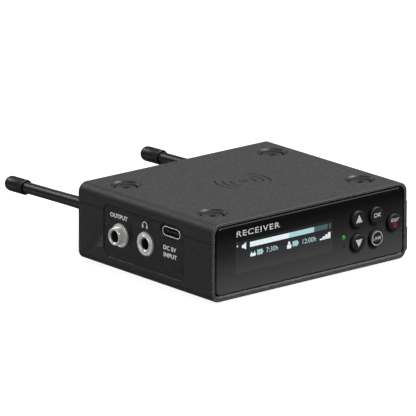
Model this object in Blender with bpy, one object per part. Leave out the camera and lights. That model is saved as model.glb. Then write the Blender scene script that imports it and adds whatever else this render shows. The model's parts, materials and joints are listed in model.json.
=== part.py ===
"""A pocket-size wireless audio receiver: a metal case with a glossy front, side sockets and two aerials.

Frame: +Z up, the front faces -Y, and the origin is the centre of the case's underside.
Every dimension below is in millimetres; SCALE turns it into the metres that Blender works in.
"""

import math

import bmesh
import bpy
from mathutils import Matrix, Vector

SCALE = 0.001

# ---------------------------------------------------------------- driving dimensions
WIDTH, DEPTH, HEIGHT = 84.0, 68.0, 26.0
HALF_W, HALF_D = WIDTH / 2, DEPTH / 2
TOP_RADIUS, BOTTOM_RADIUS = 3.3, 3.0
EDGE_BREAK = 0.4
GAP = 0.2

# Case shells
SPLIT_Z = 19.7
SPLIT_DROP = 0.9
WALL, FLOOR, CEILING = 1.5, 1.7, 24.3
LIP_HALF_W, LIP_BOTTOM, LIP_TOP = 40.7, 1.85, 25.05
LIP_RADII = (2.6, 2.2)
POCKET_DEPTH = 2.0
POST_RADIUS, POST_BORE, THREAD_BORE, HEAD_BORE = 2.1, 1.2, 1.1, 2.2
RIM_POST_LOW, RIM_POST_HIGH, THREAD_TOP = 19.3, 19.0, 21.6

# Front fascia
PANEL_GAP = 0.5
PANEL_PROUD = 0.15
PANEL_THICK = 1.95
PANEL_BACK = -HALF_D - PANEL_PROUD + PANEL_THICK
BUTTON_RADIUS, BUTTON_HOLE = 2.95, 3.1
BUTTON_PROUD = 1.2
BUTTON_SPOTS = {
    "button_up": (19.8, 17.3),
    "button_down": (19.8, 9.35),
    "button_set": (27.8, 17.25),
    "button_sync": (27.8, 9.4),
    "button_escape": (35.6, 13.45),
}
LED_SPOT, LED_RADIUS = (14.3, 11.8), 0.8
SENSOR_SPOT, SENSOR_RADIUS = (14.2, 9.0), 0.5
LENS_GAP = 0.12

# Stacking recesses on top, feet below
STACK_X, STACK_Y = 31.7, 22.0
RECESS_RADIUS, RECESS_FLOOR_RADIUS, RECESS_DEPTH = 5.1, 4.05, 0.85
STACK_HEAD_RADIUS, STACK_HEAD_THICK = 3.55, 1.1
STACK_SCREW_RADIUS, STACK_SCREW_LOW, STACK_HEX_RADIUS = 1.5, 21.7, 1.2
STACK_BORE_RADIUS, STACK_BORE_LOW = 1.65, 20.0
STACK_BOSS_RADIUS, STACK_BOSS_LOW = 5.3, 21.2
FOOT_RADIUS, FOOT_PROUD, FOOT_POCKET = 4.5, 0.8, 0.7

# Side connectors, on the -X side
PLATE_Y, PLATE_Z, PLATE_RADIUS = (-20.2, 21.0), (4.2, 21.85), 3.0
PLATE_FACE, PLATE_BACK = -HALF_W + 0.35, -HALF_W + 1.8
JACK_Z, MIC_Y, PHONES_Y = 12.7, 12.35, -0.6
SLEEVE_RADIUS, JACK_BORE, JACK_MOUTH = 2.95, 1.8, 2.35
MIC_FRONT, PHONES_FRONT = -HALF_W - 2.65, -HALF_W - 0.55
NUT_RADIUS, NUT_THICK = 4.0, 0.7
USB_Y, USB_Z, USB_W, USB_H, USB_LONG = -12.85, 19.1, 8.94, 3.26, 7.35

# Electronics
MAIN_BOARD_Z, BOARD_THICK = 15.8, 1.6
CASE_SCREWS = ((-37.9, 27.0), (-37.9, -26.2), (5.6, -25.5), (37.4, 29.95))
SCREW_HEAD_RADIUS, SCREW_HEAD_Z = 2.0, (0.2, 1.2)
SCREW_RADIUS, SCREW_TOP, SCREW_HEX_RADIUS = 1.0, 20.6, 0.9
DISPLAY_BOX = ((-34.6, 11.6), (-31.9, -29.9), (6.2, 20.6))
KEYPAD_BOX = ((15.6, 38.9), (-30.7, -29.9), (5.4, 21.6))
CONTROL_BOX = ((-37.5, 39.2), (-29.6, -28.6), (3.2, 22.5))
MAIN_BOARD_X, MAIN_BOARD_Y = (-39.8, 8.6), (-27.6, 29.2)
SHIELD_X, SHIELDS_Y = (-24.0, 2.0), {"rf_shield_front": (-9, 7), "rf_shield_rear": (9, 25)}
SHIELD_TALL, SHIELD_SHEET = 3.2, 0.3
RIBBON_X, RIBBON_Y, RIBBON_Z, RIBBON_THICK = (-14, -4), (-28.4, -22.0), 22.4, 0.2
JACK_BODY_HALF, JACK_BODY_LONG = 3.3, 10.6

# Battery bay and its door, on the +X side
TRAY_X, TRAY_Y, TRAY_Z, TRAY_WALL = (9.3, 39.7), (-28.2, 27.5), (2.1, 19.0), 0.9
CELL_RADIUS, CELL_X, CELL_Z = 7.1, (17.7, 32.3), 10.6
CELL_HALF, CELL_NUB, CELL_NUB_RADIUS = 24.6, 1.3, 2.6
CONTACT_HALF, CONTACT_SHEET = 3.5, 0.3
SPRING_TURNS, SPRING_WIRE, SPRING_RADII = 2.5, 0.22, (3.6, 2.2)
DOOR_Y = (-HALF_D, 28.0)
DOOR_X, DOOR_SEAM, DOOR_PROUD = 40.7, 10.4, 0.3
DOOR_SILL = 2.0
HINGE_X, HINGE_Z, HINGE_R, HINGE_PIN, LUG_R = 41.3, 3.2, 1.0, 0.4, 0.95
LUGS_Y = ((-31.0, -29.4), (25.6, 27.2))
LEAF_X = (39.9, 40.9)
LATCH_END, LATCH_TRAVEL = 24.0, 2.5
LATCH_STEMS_Y = (-12.0, 12.0)

# Aerials, at the back
AERIAL_X, AERIAL_Z = 29.6, 13.93
AERIAL_PIVOT_Y, AERIAL_DROOP = 39.4, 1.7
ROD_RADIUS, ROD_BASE_RADIUS = 1.95, 2.15
CAP_START, AERIAL_TIP, CAP_RADIUS = 76.9, 87.15, 2.65
CAP_BORE_DEPTH = 6.2
EYE_RADIUS, EYE_HALF, EYE_BORE, NECK_HALF = 2.2, 1.3, 0.7, 1.62
EAR_RADIUS, EAR_X = 2.4, (1.5, 2.9)
BUSHING_BORE, BUSHING_RADIUS, BUSHING_FLANGE, BUSHING_BACK = 1.8, 3.0, 4.0, 29.6
STEM_RADIUS, KNUCKLE_RADIUS = 1.7, 3.6


# ---------------------------------------------------------------- materials
def material(name, colour, roughness, metallic=0.0):
    """A Principled material, made once for each name."""
    found = bpy.data.materials.get(name)
    if found:
        return found
    made = bpy.data.materials.new(name)
    made.use_nodes = True
    shader = made.node_tree.nodes["Principled BSDF"]
    shader.inputs["Base Color"].default_value = (*colour, 1.0)
    shader.inputs["Roughness"].default_value = roughness
    shader.inputs["Metallic"].default_value = metallic
    made.diffuse_color = (*colour, 1.0)
    return made


def materials():
    """Every material the receiver uses, by a short name."""
    return {
        "paint": material("case_paint", (0.055, 0.056, 0.058), 0.55),
        "gloss": material("fascia_gloss", (0.012, 0.012, 0.013), 0.16),
        "plate": material("plate_plastic", (0.012, 0.012, 0.013), 0.4),
        "rubber": material("soft_rubber", (0.02, 0.02, 0.021), 0.7),
        "steel": material("screw_steel", (0.10, 0.10, 0.105), 0.4, 0.9),
        "nickel": material("bright_nickel", (0.72, 0.72, 0.72), 0.22, 1.0),
        "board": material("circuit_board", (0.01, 0.09, 0.04), 0.5),
        "tin": material("shield_tin", (0.55, 0.55, 0.56), 0.35, 1.0),
        "glass": material("display_glass", (0.01, 0.012, 0.014), 0.08),
        "green": material("led_green", (0.02, 0.6, 0.12), 0.2),
        "smoke": material("sensor_smoke", (0.03, 0.02, 0.025), 0.15),
        "inner": material("inner_plastic", (0.02, 0.02, 0.022), 0.5),
        "wrap": material("cell_wrap", (0.05, 0.10, 0.25), 0.35),
        "flex": material("ribbon_film", (0.35, 0.16, 0.03), 0.4),
    }


# ---------------------------------------------------------------- outlines
def arc(cx, cy, radius, start, end, steps):
    """Points on an arc, angles in degrees, both ends included."""
    return [
        (
            cx + radius * math.cos(math.radians(start + (end - start) * i / steps)),
            cy + radius * math.sin(math.radians(start + (end - start) * i / steps)),
        )
        for i in range(steps + 1)
    ]


def rounded(low, high, radii, steps=5):
    """A rounded rectangle from low to high, anticlockwise; radii are (upper corners, lower corners)."""
    (x0, y0), (x1, y1) = low, high
    upper, lower = radii
    return (
        arc(x1 - upper, y1 - upper, upper, 0, 90, steps)
        + arc(x0 + upper, y1 - upper, upper, 90, 180, steps)
        + arc(x0 + lower, y0 + lower, lower, 180, 270, steps)
        + arc(x1 - lower, y0 + lower, lower, 270, 360, steps)
    )


def place(axis, u, v, along):
    """A point from outline coordinates (u, v) and a distance along the outline's axis."""
    return {"X": (along, u, v), "Y": (u, along, v), "Z": (u, v, along)}[axis]


# ---------------------------------------------------------------- shapes, as bmeshes
def loft(axis, rings):
    """A solid through rings of equal length: [(distance along axis, outline), ...], with flat ends."""
    bm = bmesh.new()
    loops = [[bm.verts.new(place(axis, u, v, along)) for u, v in outline] for along, outline in rings]
    for near, far in zip(loops, loops[1:]):
        for i in range(len(near)):
            j = (i + 1) % len(near)
            bm.faces.new((near[i], near[j], far[j], far[i]))
    bm.faces.new(loops[0])
    bm.faces.new(loops[-1])
    bmesh.ops.recalc_face_normals(bm, faces=bm.faces)
    return bm


def prism(axis, outline, start, end):
    """An outline extruded along an axis."""
    return loft(axis, [(start, outline), (end, outline)])


def box(x, y, z):
    """A block from three (low, high) pairs."""
    return prism("Z", [(x[0], y[0]), (x[1], y[0]), (x[1], y[1]), (x[0], y[1])], z[0], z[1])


def turned(axis, centre, profile, steps=20):
    """A solid of revolution. The profile is a list of (radius, distance along axis).

    A profile that starts and ends at radius 0 makes a solid piece; any other profile is closed into a ring.
    """
    bm = bmesh.new()
    verts = [bm.verts.new((radius, 0, along)) for radius, along in profile]
    edges = [bm.edges.new(pair) for pair in zip(verts, verts[1:])]
    if profile[0][0] > 0:
        edges.append(bm.edges.new((verts[-1], verts[0])))
    bmesh.ops.spin(
        bm,
        geom=verts + edges,
        cent=(0, 0, 0),
        axis=(0, 0, 1),
        angle=math.tau,
        steps=steps,
        use_merge=True,
    )
    bmesh.ops.remove_doubles(bm, verts=bm.verts, dist=1e-5)
    for vert in bm.verts:
        u, v, along = vert.co
        vert.co = place(axis, u, v, along)
    bmesh.ops.translate(bm, verts=bm.verts, vec=centre)
    bmesh.ops.recalc_face_normals(bm, faces=bm.faces)
    return bm


def tilt(axis, degrees):
    return Matrix.Rotation(math.radians(degrees), 3, axis)


def rod(axis, centre, radius, start, end, steps=20):
    """A plain cylinder along an axis, between two distances from its centre point."""
    return turned(axis, centre, [(0, start), (radius, start), (radius, end), (0, end)], steps)


# ---------------------------------------------------------------- objects
def add(name, bm, finish, origin=(0, 0, 0)):
    """Turns a bmesh in millimetres into an object in metres, with its origin at a given point."""
    bmesh.ops.translate(bm, verts=bm.verts, vec=-Vector(origin))
    bmesh.ops.scale(bm, verts=bm.verts, vec=(SCALE,) * 3)
    mesh = bpy.data.meshes.new(name)
    bm.to_mesh(mesh)
    bm.free()
    mesh.shade_smooth()
    mesh.set_sharp_from_angle(angle=math.radians(35))
    if finish:
        mesh.materials.append(finish)
    obj = bpy.data.objects.new(name, mesh)
    obj.location = Vector(origin) * SCALE
    bpy.context.scene.collection.objects.link(obj)
    return obj


def combine(obj, bm, operation):
    """A Boolean with a helper solid, which isn't part of the receiver itself."""
    helper = add(f"{obj.name}_helper_{len(obj.modifiers)}", bm, None)
    helper.hide_render = True
    helper.display_type = "WIRE"
    modifier = obj.modifiers.new(operation.lower(), "BOOLEAN")
    modifier.operation = operation
    modifier.solver = "EXACT"
    modifier.object = helper
    return obj


def cut(obj, *shapes):
    for shape in shapes:
        combine(obj, shape, "DIFFERENCE")
    return obj


def join(obj, *shapes):
    for shape in shapes:
        combine(obj, shape, "UNION")
    return obj


# ---------------------------------------------------------------- case
def case_ring(inset):
    """The case's outline seen from the front, drawn in by inset."""
    return rounded(
        (-HALF_W + inset, inset),
        (HALF_W - inset, HEIGHT - inset),
        (TOP_RADIUS - inset, BOTTOM_RADIUS - inset),
    )


def case_body():
    """The whole case as one block, with its front and back edges broken."""
    return loft(
        "Y",
        [
            (-HALF_D, case_ring(EDGE_BREAK)),
            (-HALF_D + EDGE_BREAK, case_ring(0)),
            (HALF_D - EDGE_BREAK, case_ring(0)),
            (HALF_D, case_ring(EDGE_BREAK)),
        ],
    )


def lip_outline(gap=0.0):
    """The opening inside the case's lip, drawn in by a gap for the panel that fills it."""
    return rounded(
        (-LIP_HALF_W + gap, LIP_BOTTOM + gap * 0.7),
        (LIP_HALF_W - gap, LIP_TOP - gap),
        (LIP_RADII[0] - gap, LIP_RADII[1] - gap),
    )


def case_hollow():
    """The cavity and the pockets for the front and back panels, as three cutters."""
    cavity = rounded((-HALF_W + WALL, FLOOR), (HALF_W - WALL, CEILING), (2.4, 1.6), 4)
    return (
        prism("Y", cavity, -HALF_D + POCKET_DEPTH - 0.3, HALF_D - POCKET_DEPTH + 0.3),
        prism("Y", lip_outline(), -HALF_D - 1, -HALF_D + POCKET_DEPTH),
        prism("Y", lip_outline(), HALF_D - POCKET_DEPTH, HALF_D + 1),
    )


def split_cutter(z, far):
    """Everything beyond the parting surface, which slopes down inside the right-hand wall."""
    side = HALF_W + 5
    outline = [
        (-side, z),
        (HALF_W - 6, z),
        (LIP_HALF_W - 0.3, z - SPLIT_DROP),
        (LIP_HALF_W, z - SPLIT_DROP),
        (HALF_W, z),
        (side, z),
        (side, far),
        (-side, far),
    ]
    return prism("Y", outline, -HALF_D - 2, HALF_D + 2)


def plate_opening():
    return prism(
        "X",
        rounded((PLATE_Y[0], PLATE_Z[0]), (PLATE_Y[1], PLATE_Z[1]), (PLATE_RADIUS, PLATE_RADIUS)),
        -HALF_W - 1,
        -HALF_W + WALL + 0.5,
    )


def stack_spots():
    """(name ending, x, y) of the four stacking recesses, which the feet share."""
    return [
        (f"{end}_{side}", sx * STACK_X, sy * STACK_Y)
        for end, sy in (("front", -1), ("rear", 1))
        for side, sx in (("left", -1), ("right", 1))
    ]


def make_top_shell(kit):
    shell = add("top_shell", case_body(), kit["paint"])
    cut(shell, *case_hollow(), split_cutter(SPLIT_Z + GAP / 2, -5))
    for _, x, y in stack_spots():
        join(shell, rod("Z", (x, y, 0), STACK_BOSS_RADIUS, STACK_BOSS_LOW, CEILING + 0.4))
    for x, y in CASE_SCREWS:
        low = MAIN_BOARD_Z + BOARD_THICK + GAP if x < CELL_X[1] else RIM_POST_LOW
        join(shell, rod("Z", (x, y, 0), POST_RADIUS, low, CEILING + 0.4, 12))
        cut(shell, rod("Z", (x, y, 0), THREAD_BORE, low - 1, THREAD_TOP, 10))
    for _, x, y in stack_spots():
        top = HEIGHT
        bevel_end = top - RECESS_DEPTH + 0.1
        seat = top - RECESS_DEPTH - STACK_HEAD_THICK - 0.1
        profile = [
            (0, STACK_BORE_LOW),
            (STACK_BORE_RADIUS, STACK_BORE_LOW),
            (STACK_BORE_RADIUS, seat),
            (RECESS_FLOOR_RADIUS, seat),
            (RECESS_FLOOR_RADIUS, bevel_end),
            (RECESS_RADIUS, top),
            (RECESS_RADIUS + 1.0, top + 0.87),
            (0, top + 0.87),
        ]
        cut(shell, turned("Z", (x, y, 0), profile))
    return cut(shell, plate_opening())


def make_bottom_shell(kit):
    shell = add("bottom_shell", case_body(), kit["paint"])
    cut(shell, *case_hollow(), split_cutter(SPLIT_Z - GAP / 2, HEIGHT + 5))
    for x, y in CASE_SCREWS:
        high = MAIN_BOARD_Z - GAP if x < CELL_X[1] else RIM_POST_HIGH
        join(shell, rod("Z", (x, y, 0), POST_RADIUS, FLOOR - 0.5, high, 12))
        cut(shell, rod("Z", (x, y, 0), POST_BORE, 0.5, high + 1, 10))
        cut(shell, rod("Z", (x, y, 0), HEAD_BORE, -1, SCREW_HEAD_Z[1] + 0.1, 14))
    door = ((LEAF_X[0] - 0.1, HALF_W + 2), (DOOR_Y[0] - 1, DOOR_Y[1] + GAP), (DOOR_SILL, HEIGHT))
    cut(shell, box(*door))
    for low, high in LUGS_Y:
        knuckle = arc(HINGE_X, HINGE_Z, LUG_R, 0, 180, 8)
        outline = knuckle + [(HINGE_X - LUG_R, 0.8), (HINGE_X + 0.3, 0.8), (HINGE_X + 0.55, 2.2)]
        join(shell, prism("Y", outline, low, high))
    cut(shell, hinge_bore())
    cut(shell, plate_opening())
    for _, x, y in stack_spots():
        cut(shell, rod("Z", (x, y, 0), FOOT_RADIUS + 0.1, -1, FOOT_POCKET))
    return shell


def make_stack_screws(kit):
    top = HEIGHT - RECESS_DEPTH
    for ending, x, y in stack_spots():
        profile = [
            (0, STACK_SCREW_LOW),
            (STACK_SCREW_RADIUS, STACK_SCREW_LOW),
            (STACK_SCREW_RADIUS, top - STACK_HEAD_THICK),
            (STACK_HEAD_RADIUS, top - STACK_HEAD_THICK),
            (STACK_HEAD_RADIUS, top - 0.15),
            (STACK_HEAD_RADIUS - 0.15, top),
            (0, top),
        ]
        screw = add(f"stacking_screw_{ending}", turned("Z", (x, y, 0), profile), kit["steel"])
        socket = [(x + u, y + v) for u, v in arc(0, 0, STACK_HEX_RADIUS, 0, 300, 5)]
        cut(screw, prism("Z", socket, top - 0.8, top + 1))


def make_feet(kit):
    for ending, x, y in stack_spots():
        profile = [
            (0, -FOOT_PROUD),
            (FOOT_RADIUS - 0.9, -FOOT_PROUD),
            (FOOT_RADIUS - 0.3, -FOOT_PROUD + 0.5),
            (FOOT_RADIUS, 0),
            (FOOT_RADIUS, FOOT_POCKET - 0.1),
            (0, FOOT_POCKET - 0.1),
        ]
        add(f"foot_{ending}", turned("Z", (x, y, 0), profile), kit["rubber"])


def make_case_screws(kit):
    for number, (x, y) in enumerate(CASE_SCREWS, 1):
        low, high = SCREW_HEAD_Z
        wide = SCREW_HEAD_RADIUS
        head = [(0, low), (wide - 0.2, low), (wide, low + 0.2), (wide, high)]
        profile = head + [(SCREW_RADIUS, high), (SCREW_RADIUS, SCREW_TOP), (0, SCREW_TOP)]
        screw = add(f"case_screw_{number}", turned("Z", (x, y, 0), profile, 12), kit["steel"])
        socket = [(x + u, y + v) for u, v in arc(0, 0, SCREW_HEX_RADIUS, 0, 300, 5)]
        cut(screw, prism("Z", socket, -1, 0.8))


# ---------------------------------------------------------------- panels
def make_front_panel(kit):
    front = -HALF_D - PANEL_PROUD
    panel = loft(
        "Y",
        [
            (front, lip_outline(PANEL_GAP + 0.2)),
            (front + 0.2, lip_outline(PANEL_GAP)),
            (PANEL_BACK, lip_outline(PANEL_GAP)),
        ],
    )
    panel = add("front_panel", panel, kit["gloss"])
    holes = [(spot, BUTTON_HOLE, 24) for spot in BUTTON_SPOTS.values()]
    holes += [(LED_SPOT, LED_RADIUS + LENS_GAP, 16), (SENSOR_SPOT, SENSOR_RADIUS + LENS_GAP, 10)]
    for (x, z), radius, steps in holes:
        cut(panel, rod("Y", (x, 0, z), radius, -40, -30, steps))


def make_rear_panel(kit):
    outline = lip_outline(0.3)
    panel = add("rear_panel", prism("Y", outline, HALF_D - 1.9, HALF_D - 0.1), kit["plate"])
    for side in (-1, 1):
        cut(panel, rod("Y", (side * AERIAL_X, 0, AERIAL_Z), BUSHING_RADIUS + 0.1, 30, 36))


def usb_outline(grow):
    """The stadium shape of the USB-C socket, grown on all sides."""
    half_w, half_h = USB_W / 2 + grow, USB_H / 2 + grow
    return rounded(
        (USB_Y - half_w, USB_Z - half_h),
        (USB_Y + half_w, USB_Z + half_h),
        (half_h - 0.02, half_h - 0.02),
        6,
    )


def make_connector_plate(kit):
    outline = rounded(
        (PLATE_Y[0] + 0.15, PLATE_Z[0] + 0.15),
        (PLATE_Y[1] - 0.15, PLATE_Z[1] - 0.15),
        (PLATE_RADIUS - 0.15, PLATE_RADIUS - 0.15),
    )
    plate = add("connector_plate", prism("X", outline, PLATE_FACE, PLATE_BACK), kit["plate"])
    for y in (MIC_Y, PHONES_Y):
        cut(plate, rod("X", (0, y, JACK_Z), SLEEVE_RADIUS + 0.1, -45, -38, 24))
    flare = loft(
        "X",
        [
            (PLATE_FACE - 0.4, usb_outline(1.3)),
            (PLATE_FACE + 0.5, usb_outline(0.4)),
            (PLATE_BACK + 1, usb_outline(0.4)),
        ],
    )
    cut(plate, flare)


# ---------------------------------------------------------------- front controls
def make_buttons(kit):
    face = -HALF_D - PANEL_PROUD - BUTTON_PROUD
    flange = PANEL_BACK + 0.15
    for name, (x, z) in BUTTON_SPOTS.items():
        profile = [
            (0, face),
            (BUTTON_RADIUS - 0.5, face),
            (BUTTON_RADIUS - 0.15, face + 0.15),
            (BUTTON_RADIUS, face + 0.5),
            (BUTTON_RADIUS, flange),
            (BUTTON_RADIUS + 0.6, flange),
            (BUTTON_RADIUS + 0.6, flange + 0.6),
            (0, flange + 0.6),
        ]
        add(name, turned("Y", (x, 0, z), profile), kit["rubber"], (x, face, z))


def make_lenses(kit):
    front = -HALF_D - PANEL_PROUD
    (x, z), radius = LED_SPOT, LED_RADIUS
    dome = [(0, front - 0.25), (radius * 0.6, front - 0.18), (radius, front + 0.1), (radius, -30), (0, -30)]
    add("status_led", turned("Y", (x, 0, z), dome, 16), kit["green"])
    (x, z), radius = SENSOR_SPOT, SENSOR_RADIUS
    add("sensor_lens", rod("Y", (x, 0, z), radius, front + 0.05, -30, 12), kit["smoke"])


def make_front_electronics(kit):
    add("display_module", box(*DISPLAY_BOX), kit["glass"])
    add("keypad_mat", box(*KEYPAD_BOX), kit["rubber"])
    add("control_board", box(*CONTROL_BOX), kit["board"])


# ---------------------------------------------------------------- side connectors
def make_jack(kit, name, y, front):
    """A 3.5 mm socket: a threaded sleeve, its slotted ring nut and the moulded body behind the plate."""
    inner = PLATE_BACK + 0.2
    sleeve = [
        (JACK_MOUTH, front),
        (SLEEVE_RADIUS - 0.25, front),
        (SLEEVE_RADIUS, front + 0.25),
        (SLEEVE_RADIUS, inner),
        (JACK_BORE, inner),
        (JACK_BORE, front + 0.6),
    ]
    add(f"{name}_sleeve", turned("X", (0, y, JACK_Z), sleeve, 24), kit["nickel"])
    nut_front = PLATE_FACE - NUT_THICK - 0.02
    ring = [
        (SLEEVE_RADIUS + 0.08, nut_front),
        (NUT_RADIUS - 0.2, nut_front),
        (NUT_RADIUS, nut_front + 0.2),
        (NUT_RADIUS, PLATE_FACE - 0.02),
        (SLEEVE_RADIUS + 0.08, PLATE_FACE - 0.02),
    ]
    nut = add(f"{name}_nut", turned("X", (0, y, JACK_Z), ring, 24), kit["nickel"])
    slot = box((nut_front - 0.5, nut_front + 0.4), (-0.45, 0.45), (-6, 6))
    bmesh.ops.rotate(slot, verts=slot.verts, matrix=tilt("X", -30))
    bmesh.ops.translate(slot, verts=slot.verts, vec=(0, y, JACK_Z))
    cut(nut, slot)
    body = add(
        f"{name}_body",
        box(
            (inner + 0.2, inner + 0.2 + JACK_BODY_LONG),
            (y - JACK_BODY_HALF, y + JACK_BODY_HALF),
            (JACK_Z - JACK_BODY_HALF, MAIN_BOARD_Z - GAP),
        ),
        kit["inner"],
    )
    cut(body, rod("X", (0, y, JACK_Z), JACK_BORE, -45, inner + JACK_BODY_LONG - 1.1, 16))


def make_usb(kit):
    shell = prism("X", usb_outline(0), PLATE_FACE + 0.05, PLATE_FACE + USB_LONG)
    shell = add("usb_shell", shell, kit["nickel"])
    cut(shell, prism("X", usb_outline(-0.3), PLATE_FACE - 1, PLATE_FACE + USB_LONG - 0.4))
    tongue = rounded((USB_Y - 3.34, USB_Z - 0.35), (USB_Y + 3.34, USB_Z + 0.35), (0.3, 0.3), 3)
    add("usb_tongue", prism("X", tongue, PLATE_FACE + 0.9, PLATE_FACE + USB_LONG - 0.6), kit["inner"])


# ---------------------------------------------------------------- electronics
def make_main_board(kit):
    z = (MAIN_BOARD_Z, MAIN_BOARD_Z + BOARD_THICK)
    board = add("main_board", box(MAIN_BOARD_X, MAIN_BOARD_Y, z), kit["board"])
    for x, y in CASE_SCREWS[:3]:
        cut(board, rod("Z", (x, y, 0), POST_BORE, z[0] - 1, z[1] + 1, 12))
    low = z[1] + 0.1
    for name, y in SHIELDS_Y.items():
        can = add(name, box(SHIELD_X, y, (low, low + SHIELD_TALL)), kit["tin"])
        inside = [(a + SHIELD_SHEET, b - SHIELD_SHEET) for a, b in (SHIELD_X, y)]
        cut(can, box(*inside, (z[1], low + SHIELD_TALL - SHIELD_SHEET)))


def make_ribbon(kit):
    """The flat ribbon from the display down to the main board's upper side."""
    top = MAIN_BOARD_Z + BOARD_THICK + 0.2
    bend = 0.8
    y, z = RIBBON_Y[0] + 1.0, RIBBON_Z - bend
    inner = arc(y, z, bend - RIBBON_THICK, 90, 0, 4)
    outer = arc(y, z, bend, 0, 90, 4)
    foot = [(inner[-1][0], top), (RIBBON_Y[1], top)]
    foot += [(RIBBON_Y[1], top + RIBBON_THICK), (outer[0][0], top + RIBBON_THICK)]
    add("display_ribbon", prism("X", inner + foot + outer, *RIBBON_X), kit["flex"])


# ---------------------------------------------------------------- battery bay
def make_tray(kit):
    wall = TRAY_WALL
    tray = add("battery_tray", box(TRAY_X, TRAY_Y, TRAY_Z), kit["inner"])
    hollow = (
        (TRAY_X[0] + wall, TRAY_X[1] + 1),
        (TRAY_Y[0] + wall, TRAY_Y[1] - wall),
        (TRAY_Z[0] + wall, TRAY_Z[1] - wall),
    )
    cut(tray, box(*hollow))


def make_cells(kit):
    """Two round cells, the second turned end for end."""
    for number, (x, way) in enumerate(zip(CELL_X, (1, -1)), 1):
        profile = [
            (0, -CELL_HALF),
            (CELL_RADIUS - 0.6, -CELL_HALF),
            (CELL_RADIUS, -CELL_HALF + 0.5),
            (CELL_RADIUS, CELL_HALF - 0.5),
            (CELL_RADIUS - 0.6, CELL_HALF),
            (CELL_NUB_RADIUS, CELL_HALF),
            (CELL_NUB_RADIUS, CELL_HALF + CELL_NUB),
            (0, CELL_HALF + CELL_NUB),
        ]
        turned_round = [(radius, way * along) for radius, along in profile]
        add(f"battery_cell_{number}", turned("Y", (x, -0.35, CELL_Z), turned_round), kit["wrap"])


def make_contacts(kit):
    """A spring at each cell's flat end, and the plates that carry the current."""
    front, back = TRAY_Y[0] + 1.0, TRAY_Y[1] - 1.0
    for name, x, start, end in (
        ("battery_spring_front", CELL_X[0], front + 0.55, -CELL_HALF - 0.6),
        ("battery_spring_rear", CELL_X[1], back - 0.55, CELL_HALF - 0.1),
    ):
        add_spring(name, kit["nickel"], x, start, end)
    z = (CELL_Z - CONTACT_HALF, CELL_Z + CONTACT_HALF)
    plate = (CELL_X[1] - CONTACT_HALF, CELL_X[1] + CONTACT_HALF), (front, front + CONTACT_SHEET), z
    add("positive_contact", box(*plate), kit["nickel"])
    bridge = (CELL_X[0] - CONTACT_HALF, CELL_X[1] + CONTACT_HALF), (back - 0.2, back + 0.05), z
    add("bridge_contact", box(*bridge), kit["nickel"])


def add_spring(name, finish, x, start, end):
    """A conical coil spring along Y, wide at the wall and narrow at the cell."""
    per_turn = 8
    count = int(SPRING_TURNS * per_turn)
    wide, narrow = SPRING_RADII
    curve = bpy.data.curves.new(name, "CURVE")
    curve.dimensions = "3D"
    curve.bevel_depth = SPRING_WIRE * SCALE
    curve.bevel_resolution = 1
    curve.use_fill_caps = True
    spline = curve.splines.new("POLY")
    spline.points.add(count)
    for i, point in enumerate(spline.points):
        share = i / count
        angle = math.tau * SPRING_TURNS * share
        radius = wide - (wide - narrow) * share
        spot = (
            x + radius * math.cos(angle),
            start + (end - start) * share,
            CELL_Z + radius * math.sin(angle),
        )
        point.co = (*(value * SCALE for value in spot), 1)
    curve.materials.append(finish)
    obj = bpy.data.objects.new(name, curve)
    bpy.context.scene.collection.objects.link(obj)


# ---------------------------------------------------------------- battery door
def hinge_bore():
    return rod("Y", (HINGE_X, 0, HINGE_Z), HINGE_PIN + 0.1, LUGS_Y[0][0] - 0.25, HALF_D, 16)


def make_door(kit):
    """The door leaf: a thick lower half that carries the hinge barrel, and a thin plate behind the latch."""
    outer = HALF_W + DOOR_PROUD
    pivot = (HINGE_X, 0, HINGE_Z)
    sheet = [
        *arc(HINGE_X, HINGE_Z, HINGE_R, 180, 360, 12),
        (outer, DOOR_SEAM),
        (LEAF_X[1], DOOR_SEAM),
        (LEAF_X[1], 18.4),
        (LEAF_X[0], 18.4),
        (LEAF_X[0], 4.8),
        (LEAF_X[0] + 0.4, 4.3),
    ]
    door = add("battery_door", prism("Y", sheet, -31.3, DOOR_Y[1]), kit["paint"], pivot)
    lip = [*arc(HINGE_X, HINGE_Z, HINGE_R, 233, 360, 8), (outer, DOOR_SEAM), (DOOR_X, DOOR_SEAM)]
    join(door, prism("Y", lip, DOOR_Y[0], -31.0))
    for low, high in LUGS_Y:
        cut(door, box((38, 44), (low - 0.2, high + 0.2), (0, 4.7)))
    cut(door, hinge_bore())
    cut(door, box((38, LEAF_X[1] + 0.1), (-31.5, -31.1 + LATCH_TRAVEL), (DOOR_SEAM + 0.1, 20)))
    for y in LATCH_STEMS_Y:
        slot = (y - 1.7, y + 1.7 + LATCH_TRAVEL)
        cut(door, box((38, 42), slot, (14.5, 16.5)))


def make_latch(kit):
    """The sliding strip over the door's upper half, held by two headed stems."""
    low = DOOR_SEAM + GAP
    slope = SPLIT_DROP / (HALF_W - LIP_HALF_W)
    top = SPLIT_Z - 0.25

    def strip(inner):
        return [(inner, low), (HALF_W, low), (HALF_W, top), (inner, top - slope * (HALF_W - inner))]

    origin = (HALF_W, LATCH_END, (low + top) / 2)
    latch = add("door_latch", prism("Y", strip(LEAF_X[1] + 0.2), DOOR_Y[0], LATCH_END), kit["paint"], origin)
    join(latch, prism("Y", strip(DOOR_X), DOOR_Y[0], -31.3))
    for y in LATCH_STEMS_Y:
        stem = box((39.4, LEAF_X[1] + 0.5), (y - 1.5, y + 1.5), (14.7, 16.3))
        head = box((38.9, 39.6), (y - 2.1, y + 2.1), (13.9, 17.1))
        join(latch, stem, head)


def make_hinge_pin(kit):
    pin = rod("Y", (HINGE_X, 0, HINGE_Z), HINGE_PIN, LUGS_Y[0][0] - 0.1, DOOR_Y[1] - 0.1, 14)
    add("door_hinge_pin", pin, kit["steel"])


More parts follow.
